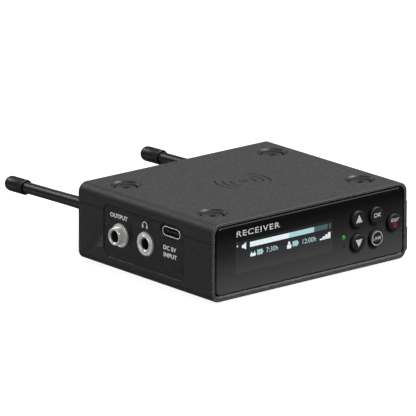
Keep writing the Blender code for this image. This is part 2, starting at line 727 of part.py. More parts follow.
# ---------------------------------------------------------------- aerials
def make_aerial(kit, side_name, side):
    x = side * AERIAL_X
    axis_point = (x, 0, AERIAL_Z)
    pivot = (x, AERIAL_PIVOT_Y, AERIAL_Z)
    bushing = [
        (BUSHING_BORE, BUSHING_BACK),
        (BUSHING_RADIUS, BUSHING_BACK),
        (BUSHING_RADIUS, HALF_D + 0.1),
        (BUSHING_FLANGE, HALF_D + 0.1),
        (BUSHING_FLANGE, HALF_D + 0.9),
        (BUSHING_FLANGE - 0.2, HALF_D + 1.1),
        (BUSHING_BORE, HALF_D + 1.1),
    ]
    add(f"antenna_bushing_{side_name}", turned("Y", axis_point, bushing), kit["steel"])
    make_knuckle(kit, side_name, pivot)
    make_rod(kit, side_name, pivot)
    pin = rod("X", pivot, 0.6, -3.2, 3.2, 14)
    add(f"antenna_pin_{side_name}", pin, kit["steel"], pivot)


def make_knuckle(kit, side_name, pivot):
    """The swivelling fork: a stem in the bushing, a round base and two ears."""
    x, y, z = pivot
    base = HALF_D + 1.3
    stem = [
        (0, BUSHING_BACK + 0.8),
        (STEM_RADIUS, BUSHING_BACK + 0.8),
        (STEM_RADIUS, base),
        (KNUCKLE_RADIUS, base),
        (KNUCKLE_RADIUS, base + 0.8),
        (KNUCKLE_RADIUS - 0.2, base + 1.0),
        (0, base + 1.0),
    ]
    knuckle = add(f"antenna_knuckle_{side_name}", turned("Y", (x, 0, z), stem), kit["inner"], (x, base, z))
    ear = [(base + 0.5, z - EAR_RADIUS), *arc(y, z, EAR_RADIUS, -90, 90, 10), (base + 0.5, z + EAR_RADIUS)]
    near, far = EAR_X
    join(knuckle, prism("X", ear, x - far, x - near), prism("X", ear, x + near, x + far))
    cut(knuckle, rod("X", pivot, EYE_BORE, -4, 4, 14))


def make_rod(kit, side_name, pivot):
    """The whip, with its hinge eye and slight droop, and the round cap at its tip."""
    x, y, z = pivot
    ring = rod("X", pivot, EYE_RADIUS, -EYE_HALF, EYE_HALF)
    eye = add(f"antenna_rod_{side_name}", ring, kit["rubber"], pivot)
    neck_x = EYE_HALF - 0.05
    neck = box((x - neck_x, x + neck_x), (y, y + 3.8), (z - NECK_HALF, z + NECK_HALF))
    cap_start, tip = CAP_START, AERIAL_TIP
    whip = turned(
        "Y",
        (x, 0, z),
        [
            (0, y + 3.0),
            (ROD_BASE_RADIUS - 0.35, y + 3.0),
            (ROD_BASE_RADIUS, y + 3.5),
            (ROD_RADIUS, y + 18),
            (ROD_RADIUS, cap_start + CAP_BORE_DEPTH - 0.2),
            (0, cap_start + CAP_BORE_DEPTH - 0.2),
        ],
    )
    bore, crown = ROD_RADIUS + 0.1, tip - CAP_RADIUS
    dome = [(radius, along) for along, radius in arc(crown, 0, CAP_RADIUS - 0.05, 90, 0, 6)]
    cap = turned(
        "Y",
        (x, 0, z),
        [(0, cap_start + CAP_BORE_DEPTH), (bore, cap_start + CAP_BORE_DEPTH)]
        + [(bore, cap_start), (CAP_RADIUS - 0.2, cap_start)]
        + [(CAP_RADIUS, cap_start + 0.25)]
        + [(max(radius, 0), along) for radius, along in dome[:-1]]
        + [(0, tip - 0.05)],
    )
    for shape in (neck, whip, cap):
        bmesh.ops.rotate(shape, cent=pivot, matrix=tilt("X", -AERIAL_DROOP), verts=shape.verts)
    join(eye, neck, whip)
    cut(eye, rod("X", pivot, EYE_BORE, -4, 4, 14))
    add(f"antenna_cap_{side_name}", cap, kit["rubber"], pivot)


# ---------------------------------------------------------------- assembly
def main():
    for obj in list(bpy.data.objects):
        bpy.data.objects.remove(obj)
    kit = materials()
    make_top_shell(kit)
    make_bottom_shell(kit)
    make_stack_screws(kit)
    make_feet(kit)
    make_case_screws(kit)
    make_front_panel(kit)
    make_rear_panel(kit)
    make_connector_plate(kit)
    make_buttons(kit)
    make_lenses(kit)
    make_front_electronics(kit)
    make_jack(kit, "mic_jack", MIC_Y, MIC_FRONT)
    make_jack(kit, "headphone_jack", PHONES_Y, PHONES_FRONT)
    make_usb(kit)
    make_main_board(kit)
    make_ribbon(kit)
    make_tray(kit)
    make_cells(kit)
    make_contacts(kit)
    make_door(kit)
    make_latch(kit)
    make_hinge_pin(kit)
    for side_name, side in (("left", -1), ("right", 1)):
        make_aerial(kit, side_name, side)


main()
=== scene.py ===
"""Looks of the portable wireless receiver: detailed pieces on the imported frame, studio and camera.

Shapes are built in millimetres in the row frame (+Z up, display front towards -Y)
and turned into metres when they become objects.
"""

import json
import math

import bmesh
import bpy
from mathutils import Matrix, Vector


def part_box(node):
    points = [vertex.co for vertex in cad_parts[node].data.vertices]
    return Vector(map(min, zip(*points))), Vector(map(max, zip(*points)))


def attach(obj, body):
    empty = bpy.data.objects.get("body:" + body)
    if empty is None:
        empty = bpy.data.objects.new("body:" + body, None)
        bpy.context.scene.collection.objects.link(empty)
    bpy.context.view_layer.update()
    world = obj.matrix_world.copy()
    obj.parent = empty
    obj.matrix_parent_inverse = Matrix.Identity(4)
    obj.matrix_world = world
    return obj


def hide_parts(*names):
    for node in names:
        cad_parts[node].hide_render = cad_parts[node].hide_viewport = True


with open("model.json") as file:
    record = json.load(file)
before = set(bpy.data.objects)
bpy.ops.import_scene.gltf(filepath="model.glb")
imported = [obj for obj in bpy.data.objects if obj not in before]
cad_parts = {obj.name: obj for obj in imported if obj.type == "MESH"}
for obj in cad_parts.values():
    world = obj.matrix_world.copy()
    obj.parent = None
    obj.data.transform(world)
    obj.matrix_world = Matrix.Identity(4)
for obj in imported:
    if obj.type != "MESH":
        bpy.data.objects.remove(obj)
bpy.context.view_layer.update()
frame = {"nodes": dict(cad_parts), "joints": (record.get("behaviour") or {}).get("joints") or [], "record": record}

SCALE = 0.001


def span(node):
    """A CAD node's low and high corners in millimetres."""
    low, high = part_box(node)
    return [value / SCALE for value in low], [value / SCALE for value in high]


def middle(node):
    low, high = span(node)
    return [(a + b) / 2 for a, b in zip(low, high)]


# ---------------------------------------------------------------- sizes taken from the frame
HALF_W, HALF_D, HEIGHT = span("top_shell")[1]
PANEL_LOW, PANEL_HIGH = span("front_panel")
PLATE_LOW, PLATE_HIGH = span("connector_plate")
PANEL_FACE = PANEL_LOW[1]
PLATE_FACE = PLATE_LOW[0]
FLOOR_Z = span("foot_front_left")[0][2]

# ---------------------------------------------------------------- sizes in millimetres
PAST, FAR = 1.0, 5.0  # how far small and large cutters reach past a face
ROOT = 0.4  # how far posts and wells reach into the ceiling
TOP_RADIUS, BOTTOM_RADIUS, EDGE_ROUND, CASE_BEVEL = 3.3, 3.0, 0.35, 0.09
SPLIT_Z, SEAM = 19.7, 0.16
SPLIT_DROP, SPLIT_SLOPE_START, SPLIT_LEDGE = 0.9, 6.0, 0.3
WALL, FLOOR_THICK, CEILING = 1.5, 1.7, 24.3
CAVITY_RADII = (2.4, 1.6)
POCKET_DEPTH, POCKET_OVERLAP = 2.0, 0.3
OPENING, OPENING_RADII = (-40.7, 1.85, 40.7, 25.05), (2.6, 2.2)
LIP_SIDE, LIP_LOW, LIP_DEPTH = 0.05, 0.5, 0.4
PLATE_CORNER, PLATE_GAP, PLATE_BEVEL = 2.87, 0.03, 0.27
DOOR_SIDE_X, DOOR_END_Y, DOOR_SILL = 39.8, 28.2, 2.0
HINGE_X, HINGE_Z, LUG_RADIUS = 41.3, 3.2, 0.95
PIN_BORE, PIN_START = 0.5, -31.25
LUGS_Y = ((-31.0, -29.4), (25.6, 27.2))
RECESS_RIM, RECESS_FLOOR, RECESS_DEPTH = 5.1, 4.05, 0.85
RECESS_ROUND, RECESS_FALL, RECESS_WELL = 0.3, 0.22, 2.0
RECESS_WALL = ((0.06, 0.24), (0.22, 0.52), (0.5, 0.76))  # inward from the rim, below the top
WELL_RADIUS, WELL_LOW = 5.3, 21.2
MARK_CENTRE, MARK_RING, MARK_ARCS = (0.6, 0.6), (1.0, 1.45), (4.2, 6.7, 9.2)
MARK_HALF_ANGLE, MARK_WIDTH, MARK_DEPTH = 42, 0.42, 0.4
POST_RADIUS, POST_FOOT, POST_INSET = 2.1, 1.2, 10.0
BOARD_POSTS, EDGE_POSTS = (15.6, 17.6), (19.0, 19.3)  # end of the lower post, start of the upper
FOOT_POCKET, FOOT_POCKET_TOP = 4.6, 0.7
SCREW_HEAD, SCREW_HEAD_TOP, SCREW_SHANK, SCREW_END = 2.2, 1.3, 1.2, 20.0
FASCIA_GAP, FASCIA_LOW_GAP = 0.5, 0.35
KEY_HOLE, KEY_RADIUS, KEY_SKIRT, KEY_SKIRT_Y = 3.12, 2.95, 0.55, -32.1
PRINT_PROUD = 0.02  # how far the signs stand off the face they are printed on
BAR_LOW, BAR_HIGH = 16.2, 17.9
CORNERS = ("front_left", "front_right", "rear_left", "rear_right")
BUTTONS = ("up", "down", "set", "sync", "escape")
JACKS = ("mic_jack", "headphone_jack")

# ---------------------------------------------------------------- antennas, stored pose
WHIP_DROOP, WHIP_RADIUS = -1.7, 1.95
WHIP_TAPER = ((1.6, 2.9), (2.05, 3.2), (2.15, 3.7), (2.07, 9.0), (1.99, 16.0))  # radius, from hinge
EYE_PROFILE = ((0, -1.3), (2.0, -1.3), (2.2, -1.1), (2.2, 1.1), (2.0, 1.3), (0, 1.3))
EYE_BORE = 0.7
NECK_HALF_X, NECK_HALF_Z, NECK_LENGTH = 1.25, 1.65, 3.9
CAP_START, CAP_TIP, CAP_RADIUS, CAP_REACH = 76.9, 87.1, 2.62, 6.0
CAP_RIM = ((2.45, 0.0), (2.58, 0.1), (2.64, 0.28), (2.62, 0.5), (2.54, 0.62), (2.54, 0.74), (2.61, 0.86))

# ---------------------------------------------------------------- studio, in metres and watts
ALL_RAYS, DIFFUSE, GLOSSY = (True, True), (True, False), (False, True)
LIGHTS = (
    ("key", (0.40, -0.85, 0.90), (0.55, 0.45), 15.0, ALL_RAYS),
    ("top_fill", (0.05, 0.30, 1.0), (0.7, 0.7), 1.2, ALL_RAYS),
    ("top_card", (0.75, 0.88, 0.33), (0.5, 0.3), 0.16, GLOSSY),
    ("front_fill", (0.25, -1.30, 0.10), (0.8, 0.4), 1.6, DIFFUSE),
    ("left_card", (-0.95, 0.05, 0.32), (0.25, 0.6), 1.8, GLOSSY),
    ("edge_card", (0.62, -0.27, 0.73), (0.35, 0.35), 1.6, GLOSSY),
    ("back_card", (-0.25, 0.95, 0.65), (0.5, 0.35), 2.3, GLOSSY),
    ("nickel_card", (-0.37, 0.40, -0.13), (0.2, 0.2), 0.09, GLOSSY),
)
LIGHT_TARGET = (0, 0, 0.015)
FLOOR_HALF, FLOOR_GLOW = 30.0, 0.93
WORLD_LIGHT, WORLD_SEEN = 0.14, 1.0
CAMERA_AZIMUTH, CAMERA_ELEVATION, CAMERA_ROLL = -40.2347, 15.8482, 0.1327
CAMERA_TARGET, CAMERA_DISTANCE = (-0.007983, 0.008175, 0.016728), 1.92013
CAMERA_LENS, CAMERA_SENSOR = 505.523, 36.0


# ---------------------------------------------------------------- outlines
def arc(cx, cy, radius, start, end, steps):
    """Points on an arc, angles in degrees, both ends included."""
    return [
        (
            cx + radius * math.cos(math.radians(start + (end - start) * i / steps)),
            cy + radius * math.sin(math.radians(start + (end - start) * i / steps)),
        )
        for i in range(steps + 1)
    ]


def rounded(x0, y0, x1, y1, upper, lower=None, steps=12):
    """A rounded rectangle, anticlockwise, with one radius for its upper and one for its lower corners."""
    lower = upper if lower is None else lower
    return (
        arc(x1 - upper, y1 - upper, upper, 0, 90, steps)
        + arc(x0 + upper, y1 - upper, upper, 90, 180, steps)
        + arc(x0 + lower, y0 + lower, lower, 180, 270, steps)
        + arc(x1 - lower, y0 + lower, lower, 270, 360, steps)
    )


def quarter(steps=3):
    """Angles of a rounded edge, from its start to its end."""
    return [math.pi / 2 * i / steps for i in range(steps + 1)]


def place(axis, u, v, along):
    """A point from its two coordinates across an axis and the one along it."""
    return {"X": (along, u, v), "Y": (u, along, v), "Z": (u, v, along)}[axis]


# ---------------------------------------------------------------- bmesh shapes
def loft(axis, rings):
    """A solid through rings of equal length: [(distance along axis, outline), ...]."""
    bm = bmesh.new()
    loops = [[bm.verts.new(place(axis, u, v, along)) for u, v in outline] for along, outline in rings]
    for near, far in zip(loops, loops[1:]):
        for i in range(len(near)):
            j = (i + 1) % len(near)
            bm.faces.new((near[i], near[j], far[j], far[i]))
    bm.faces.new(loops[0])
    bm.faces.new(loops[-1])
    bmesh.ops.recalc_face_normals(bm, faces=bm.faces)
    return bm


def prism(axis, outline, start, end):
    return loft(axis, [(start, outline), (end, outline)])


def box(x, y, z):
    return prism("Z", [(x[0], y[0]), (x[1], y[0]), (x[1], y[1]), (x[0], y[1])], z[0], z[1])


def turned(axis, centre, profile, steps=64):
    """A solid of revolution from (radius, distance) points; a profile off the axis makes a ring."""
    bm = bmesh.new()
    verts = [bm.verts.new((radius, 0, along)) for radius, along in profile]
    edges = [bm.edges.new(pair) for pair in zip(verts, verts[1:])]
    if profile[0][0] > 0:
        edges.append(bm.edges.new((verts[-1], verts[0])))
    bmesh.ops.spin(
        bm, geom=verts + edges, cent=(0, 0, 0), axis=(0, 0, 1), angle=math.tau, steps=steps, use_merge=True
    )
    bmesh.ops.remove_doubles(bm, verts=bm.verts, dist=1e-5)
    for vert in bm.verts:
        u, v, along = vert.co
        vert.co = place(axis, u, v, along)
    bmesh.ops.translate(bm, verts=bm.verts, vec=centre)
    bmesh.ops.recalc_face_normals(bm, faces=bm.faces)
    return bm


def rod(axis, centre, radius, start, end, steps=64):
    """A plain round solid, for posts, wells and bores."""
    return turned(axis, centre, [(0, start), (radius, start), (radius, end), (0, end)], steps)


def spun(bm, centre, axis, degrees):
    """The same shape, turned about a point."""
    turn = Matrix.Rotation(math.radians(degrees), 3, axis)
    bmesh.ops.rotate(bm, verts=bm.verts, cent=centre, matrix=turn)
    return bm


def merged(*shapes):
    """Several separate shapes in one bmesh."""
    bm = bmesh.new()
    for shape in shapes:
        mesh = bpy.data.meshes.new("part")
        shape.to_mesh(mesh)
        shape.free()
        bm.from_mesh(mesh)
        bpy.data.meshes.remove(mesh)
    return bm


# ---------------------------------------------------------------- objects
def add(name, bm, finish=None, sharp=32):
    """A mesh object in metres with smooth shading split at sharp edges."""
    bmesh.ops.scale(bm, verts=bm.verts, vec=(SCALE,) * 3)
    mesh = bpy.data.meshes.new(name)
    bm.to_mesh(mesh)
    bm.free()
    mesh.shade_smooth()
    mesh.set_sharp_from_angle(angle=math.radians(sharp))
    if finish:
        mesh.materials.append(finish)
    obj = bpy.data.objects.new(name, mesh)
    bpy.context.scene.collection.objects.link(obj)
    return obj


def carve(obj, cutters, joined=()):
    """Booleans with helper solids, applied straight away, after which the helpers are gone."""
    helpers = []
    for shapes, operation in ((joined, "UNION"), (cutters, "DIFFERENCE")):
        for shape in shapes:
            helper = add("helper", shape)
            modifier = obj.modifiers.new("boolean", "BOOLEAN")
            modifier.operation = operation
            modifier.solver = "EXACT"
            modifier.object = helper
            helpers.append(helper)
    bpy.context.view_layer.update()
    evaluated = obj.evaluated_get(bpy.context.evaluated_depsgraph_get())
    mesh = bpy.data.meshes.new_from_object(evaluated)
    obj.modifiers.clear()
    obj.data = mesh
    for helper in helpers:
        bpy.data.objects.remove(helper)
    return obj


def soften(obj, width=0.1, segments=2, angle=35):
    """Rounds the sharp edges a little and keeps flat faces flat in shading."""
    bevel = obj.modifiers.new("edge_round", "BEVEL")
    bevel.width = width * SCALE
    bevel.segments = segments
    bevel.limit_method = "ANGLE"
    bevel.angle_limit = math.radians(angle)
    bevel.use_clamp_overlap = True
    bevel.harden_normals = False
    normals = obj.modifiers.new("flat_normals", "WEIGHTED_NORMAL")
    normals.keep_sharp = True
    return obj


def settle(obj, body, replaces=()):
    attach(obj, body)
    if replaces:
        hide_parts(*replaces)
    return obj


# ---------------------------------------------------------------- materials
class Finish:
    """A small builder for procedural materials."""

    def __init__(self, name):
        self.material = bpy.data.materials.new(name)
        self.material.use_nodes = True
        self.tree = self.material.node_tree
        self.shader = self.tree.nodes["Principled BSDF"]
        self.coords = self.tree.nodes.new("ShaderNodeTexCoord").outputs["Object"]

    def node(self, kind, **inputs):
        made = self.tree.nodes.new(kind)
        for name, value in inputs.items():
            made.inputs[name].default_value = value
        return made

    def link(self, out, into):
        self.tree.links.new(out, into)
        return self

    def noise(self, scale, detail=3.0):
        made = self.node("ShaderNodeTexNoise", Scale=scale, Detail=detail)
        self.link(self.coords, made.inputs["Vector"])
        return made.outputs["Fac"]

    def ramp(self, factor, stops):
        """Colours or greys along a factor: [(position, colour or grey), ...]."""
        made = self.tree.nodes.new("ShaderNodeValToRGB")
        elements = made.color_ramp.elements
        while len(elements) < len(stops):
            elements.new(0.5)
        for element, (position, value) in zip(elements, stops):
            colour = value if isinstance(value, tuple) else (value,) * 3
            element.position = position
            element.color = (*colour, 1.0)
        self.link(factor, made.inputs["Fac"])
        return made.outputs["Color"]

    def colour(self, socket):
        return self.link(socket, self.shader.inputs["Base Color"])

    def along(self, axis, low, high):
        """How far along an axis a point lies, 0 at low and 1 at high, both in millimetres."""
        split = self.tree.nodes.new("ShaderNodeSeparateXYZ")
        self.link(self.coords, split.inputs[0])
        made = self.node("ShaderNodeMapRange", **{"From Min": low * SCALE, "From Max": high * SCALE})
        self.link(split.outputs[axis], made.inputs["Value"])
        return made.outputs["Result"]

    def rough(self, factor, low, high):
        """Roughness between low and high, following a noise."""
        limits = {"From Min": 0.3, "From Max": 0.7, "To Min": low, "To Max": high}
        made = self.node("ShaderNodeMapRange", **limits)
        self.link(factor, made.inputs["Value"])
        return self.link(made.outputs["Result"], self.shader.inputs["Roughness"])

    def bump(self, factor, strength, distance):
        made = self.node("ShaderNodeBump", Strength=strength, Distance=distance * SCALE)
        self.link(factor, made.inputs["Height"])
        return self.link(made.outputs["Normal"], self.shader.inputs["Normal"])

    def fixed(self, **values):
        for name, value in values.items():
            self.shader.inputs[name.replace("_", " ")].default_value = value
        return self


def tinted(colour, share):
    return tuple(channel * share for channel in colour)


def grained(name, colour, contrast, scale, roughness, bump, distance, fixed):
    """Fine grain: speckled colour, uneven roughness and a matching bump."""
    made = Finish(name)
    fine = made.noise(scale, 4.0)
    dark, light = tinted(colour, 1 - contrast), tinted(colour, 1 + contrast)
    made.colour(made.ramp(fine, [(0.30, dark), (0.50, colour), (0.70, light)]))
    made.rough(made.noise(scale * 0.35, 2.0), *roughness)
    made.bump(fine, bump, distance)
    return made.fixed(**fixed).material


def case_paint(name="case_paint", share=1.0, roughness=(0.42, 0.56), specular=0.34):
    """Speckled powder coat: fine light flecks in dark grey, with a fine pebble bump."""
    made = Finish(name)
    fine = made.noise(2600.0, 5.0)
    flecks = made.ramp(
        fine,
        [
            (0.30, tinted((0.040, 0.040, 0.040), share)),
            (0.48, tinted((0.062, 0.062, 0.062), share)),
            (0.60, tinted((0.086, 0.086, 0.086), share)),
            (0.74, tinted((0.142, 0.142, 0.141), share)),
        ],
    )
    made.colour(flecks)
    made.rough(made.noise(900.0, 3.0), *roughness)
    made.bump(made.noise(2200.0, 3.0), 0.35, 0.06)
    return made.fixed(Specular_IOR_Level=specular).material


def fascia_gloss():
    """Polished smoked plastic, a little lighter towards its lower edge: a painted reflection of the pale floor."""
    made = Finish("fascia_gloss")
    wobble = made.node("ShaderNodeMixRGB", Fac=0.02)
    wobble.blend_type = "ADD"
    made.link(made.along("Z", PANEL_LOW[2], PANEL_HIGH[2]), wobble.inputs["Color1"])
    made.link(made.noise(1500.0, 2.0), wobble.inputs["Color2"])
    # lighter low down, darker high up: painted reflection of the floor
    stops = [
        (0.00, (0.078, 0.078, 0.0785)),
        (0.30, (0.051, 0.051, 0.0515)),
        (0.60, (0.0195, 0.0195, 0.0197)),
        (0.90, (0.0040, 0.0040, 0.0041)),
    ]
    made.colour(made.ramp(wobble.outputs["Color"], stops))
    made.rough(made.noise(120.0, 2.0), 0.12, 0.2)
    return made.fixed(Specular_IOR_Level=0.16).material


def glowing(name, colour, strength):
    """A lit display colour, with the faint unevenness of its pixels."""
    made = Finish(name)
    pixels = made.ramp(made.noise(1800.0, 2.0), [(0.3, tinted(colour, 0.86)), (0.7, colour)])
    made.link(pixels, made.shader.inputs["Emission Color"])
    return made.fixed(
        Base_Color=(0.02, 0.02, 0.02, 1.0), Emission_Strength=strength, Roughness=0.4
    ).material


def glowing_print(name, grey, glow):
    """White print that glows a little, painted light that keeps it readable on a shaded side."""
    made = Finish(name)
    shade = made.ramp(made.noise(1500.0, 3.0), [(0.3, grey * 0.94), (0.7, grey)])
    made.colour(shade).link(shade, made.shader.inputs["Emission Color"])
    return made.fixed(Emission_Strength=glow, Roughness=0.55).material


def window_tint_and_reflection():
    """The display's window, a shade lighter than the fascia around it, and lighter towards its lower edge as a
    painted reflection of the pale floor.
    """
    made = Finish("window_tint_and_reflection")
    stops = [
        (0.20, (0.074, 0.0745, 0.075)),
        (0.55, (0.033, 0.0335, 0.034)),
        (0.90, (0.011, 0.0113, 0.0116)),
    ]
    made.colour(made.ramp(made.along("Z", PANEL_LOW[2], PANEL_HIGH[2]), stops))
    made.rough(made.noise(300.0, 2.0), 0.12, 0.18)
    return made.fixed(Specular_IOR_Level=0.25).material


def cell_wrap():
    """A printed sleeve: a dark body and a copper-coloured end."""
    made = Finish("cell_wrap")
    blue, copper = (0.02, 0.05, 0.16), (0.45, 0.20, 0.06)
    made.colour(made.ramp(made.along("Y", -26.0, 26.0), [(0.0, blue), (0.70, blue), (0.72, copper)]))
    made.rough(made.noise(500.0, 2.0), 0.25, 0.35)
    return made.fixed(Metallic=0.5).material


NICKEL = (0.86, 0.85, 0.83)
# colour, contrast, scale, roughness, bump, distance in millimetres, then the shader's constants
GRAINS = {
    "plate_plastic": (
        (0.020, 0.020, 0.0202), 0.12, 1800.0, (0.38, 0.5), 0.12, 0.02, {"Specular_IOR_Level": 0.35}
    ),
    "soft_rubber": ((0.0095, 0.0095, 0.0097), 0.1, 1600.0, (0.44, 0.54), 0.15, 0.02, {}),
    "aerial_rubber": ((0.013, 0.013, 0.0135), 0.1, 1500.0, (0.32, 0.4), 0.08, 0.02, {}),
    "screw_steel": ((0.10, 0.10, 0.105), 0.15, 900.0, (0.38, 0.5), 0.1, 0.01, {"Metallic": 0.85}),
    "disc_paint": ((0.042, 0.042, 0.0425), 0.15, 2400.0, (0.36, 0.46), 0.2, 0.03, {}),
    "bright_nickel": (NICKEL, 0.03, 700.0, (0.26, 0.32), 0.01, 0.002, {"Metallic": 1.0}),
    # nickel with a faint glow of its own colour: painted light that keeps the socket rings bright
    "socket_nickel_glow": (
        NICKEL, 0.03, 700.0, (0.28, 0.34), 0.01, 0.002,
        {"Metallic": 0.9, "Emission_Color": (*NICKEL, 1.0), "Emission_Strength": 0.09},
    ),
    "socket_bore": ((0.09, 0.09, 0.09), 0.1, 700.0, (0.4, 0.5), 0.02, 0.004, {"Metallic": 0.6}),
    "circuit_board": ((0.01, 0.09, 0.04), 0.35, 260.0, (0.3, 0.45), 0.2, 0.03, {}),
    "shield_tin": ((0.55, 0.55, 0.56), 0.08, 500.0, (0.28, 0.42), 0.08, 0.02, {"Metallic": 1.0}),
    "display_glass": ((0.011, 0.012, 0.013), 0.1, 400.0, (0.08, 0.14), 0.02, 0.01, {}),
    "sensor_smoke": ((0.03, 0.03, 0.031), 0.2, 700.0, (0.1, 0.18), 0.03, 0.01, {}),
    "inner_plastic": ((0.02, 0.02, 0.0205), 0.15, 1400.0, (0.42, 0.55), 0.2, 0.03, {}),
    "ribbon_film": ((0.35, 0.16, 0.03), 0.15, 300.0, (0.3, 0.4), 0.08, 0.01, {}),
    "legend_white": ((0.62, 0.62, 0.62), 0.05, 1500.0, (0.5, 0.6), 0.05, 0.01, {}),
    "legend_red": ((0.42, 0.012, 0.025), 0.08, 1500.0, (0.5, 0.6), 0.05, 0.01, {}),
}
FINISHES = {
    "case_paint": case_paint(),
    # a darker copy of the case paint: painted shade for the insides of the recesses
    "recess_painted_shade": case_paint("recess_painted_shade", 0.42, (0.38, 0.46), 0.55),
    "fascia_gloss": fascia_gloss(),
    "window_tint_and_reflection": window_tint_and_reflection(),
    "cell_wrap": cell_wrap(),
    "led_green": glowing("led_green", (0.0, 0.22, 0.02), 1.0),
    "side_white": glowing_print("side_white", 0.9, 0.36),
    "screen_white": glowing("screen_white", (0.80, 0.92, 0.95), 1.0),
    "screen_pale": glowing("screen_pale", (0.43, 0.66, 0.71), 1.0),
    "screen_teal": glowing("screen_teal", (0.045, 0.105, 0.12), 1.0),
}
FINISHES.update({name: grained(name, *values) for name, values in GRAINS.items()})


# ---------------------------------------------------------------- case
def case_ring(inset):
    return rounded(
        -HALF_W + inset,
        inset,
        HALF_W - inset,
        HEIGHT - inset,
        TOP_RADIUS - inset,
        BOTTOM_RADIUS - inset,
    )


def case_body():
    """The case as one block with rounded front and rear edges."""
    edge = [(EDGE_ROUND * (1 - math.sin(t)), EDGE_ROUND * (1 - math.cos(t))) for t in quarter()]
    rings = [(-HALF_D + along, case_ring(inset)) for inset, along in edge]
    rings += [(HALF_D - along, case_ring(inset)) for inset, along in reversed(edge)]
    return loft("Y", rings)


def opening(gap=0.0, low_gap=None):
    """The front opening's outline, with one gap at its top and sides and another at its bottom."""
    x0, z0, x1, z1 = OPENING
    low_gap = gap if low_gap is None else low_gap
    upper, lower = (radius - gap for radius in OPENING_RADII)
    return rounded(x0 + gap, z0 + low_gap, x1 - gap, z1 - gap, upper, lower)


def hollow():
    """The cavity, the front opening with its bevelled edge, and the rear opening."""
    cavity = rounded(-HALF_W + WALL, FLOOR_THICK, HALF_W - WALL, CEILING, *CAVITY_RADII, 6)
    reach = HALF_D - POCKET_DEPTH + POCKET_OVERLAP
    front = [
        (-HALF_D - PAST, opening(-LIP_SIDE - PAST, -LIP_LOW - PAST)),
        (-HALF_D, opening(-LIP_SIDE, -LIP_LOW)),
        (-HALF_D + LIP_DEPTH, opening()),
        (-HALF_D + POCKET_DEPTH, opening()),
    ]
    rear = prism("Y", opening(), HALF_D - POCKET_DEPTH, HALF_D + PAST)
    return [prism("Y", cavity, -reach, reach), loft("Y", front), rear]


def split_cutter(z, far):
    """Everything beyond the parting surface, which slopes down inside the right-hand wall."""
    side, inner, end = HALF_W + FAR, OPENING[2], HALF_D + 2 * PAST
    outline = [
        (-side, z),
        (HALF_W - SPLIT_SLOPE_START, z),
        (inner - SPLIT_LEDGE, z - SPLIT_DROP),
        (inner, z - SPLIT_DROP),
        (HALF_W, z),
        (side, z),
        (side, far),
        (-side, far),
    ]
    return prism("Y", outline, -end, end)


def plate_opening():
    """The hole in the left wall around the socket plate, with a bevelled edge."""

    def outline(grow):
        low, high = PLATE_LOW, PLATE_HIGH
        corner = PLATE_CORNER + grow
        return rounded(low[1] - grow, low[2] - grow, high[1] + grow, high[2] + grow, corner)

    wide = PLATE_GAP + PLATE_BEVEL
    rings = [(-HALF_W - PAST, outline(wide + PAST)), (-HALF_W, outline(wide))]
    rings += [(-HALF_W + along, outline(PLATE_GAP)) for along in (PLATE_BEVEL, WALL + PAST / 2)]
    return loft("X", rings)


def recess_cutter(x, y):
    """A dished recess with a soft rim, a curved wall and a narrow well for the screw's head."""
    outer, base = RECESS_RIM + RECESS_ROUND, HEIGHT - RECESS_DEPTH
    rim = [
        (outer - RECESS_ROUND * math.sin(t), HEIGHT - RECESS_FALL * (1 - math.cos(t)))
        for t in (1.2, 0.8, 0.4, 0)
    ]
    wall = [(RECESS_RIM - inset, HEIGHT - depth) for inset, depth in reversed(RECESS_WALL)]
    profile = [(0, HEIGHT - RECESS_WELL), (RECESS_FLOOR, HEIGHT - RECESS_WELL)]
    profile += [(RECESS_FLOOR, base - 0.08), (RECESS_FLOOR + 0.12, base)] + wall + rim
    return turned("Z", (x, y, 0), profile + [(outer, HEIGHT + PAST), (0, HEIGHT + PAST)], 72)


def groove(cx, cy, radius, start, end):
    """A narrow engraved arc in the top face."""
    steps = max(6, int(abs(end - start) / 5))
    outer = arc(cx, cy, radius + MARK_WIDTH / 2, start, end, steps)
    inner = arc(cx, cy, radius - MARK_WIDTH / 2, end, start, steps)
    return prism("Z", outer + inner, HEIGHT - MARK_DEPTH, HEIGHT + PAST)


def engraved_mark():
    """A generic radio-wave sign: a small ring between two fans of arcs."""
    (inner, outer), low, high = MARK_RING, HEIGHT - MARK_DEPTH, HEIGHT + PAST
    ring = [(inner, low), (outer, low), (outer, high), (inner, high)]
    cutters = [turned("Z", (*MARK_CENTRE, 0), ring)]
    for radius in MARK_ARCS:
        for heading in (0, 180):
            ends = (heading - MARK_HALF_ANGLE, heading + MARK_HALF_ANGLE)
            cutters.append(groove(*MARK_CENTRE, radius, *ends))
    return cutters


def stack_spots():
    return [middle(f"foot_{corner}")[:2] for corner in CORNERS]


def screw_spots():
    return [middle(f"case_screw_{number}")[:2] for number in range(1, 5)]


def screw_posts(upper):
    """Posts for the case screws, from the floor up or from the ceiling down."""
    posts = []
    for x, y in screw_spots():
        lower_end, upper_start = BOARD_POSTS if x < HALF_W - POST_INSET else EDGE_POSTS
        ends = (upper_start, CEILING + ROOT) if upper else (POST_FOOT, lower_end)
        posts.append(rod("Z", (x, y, 0), POST_RADIUS, *ends, 24))
    return posts


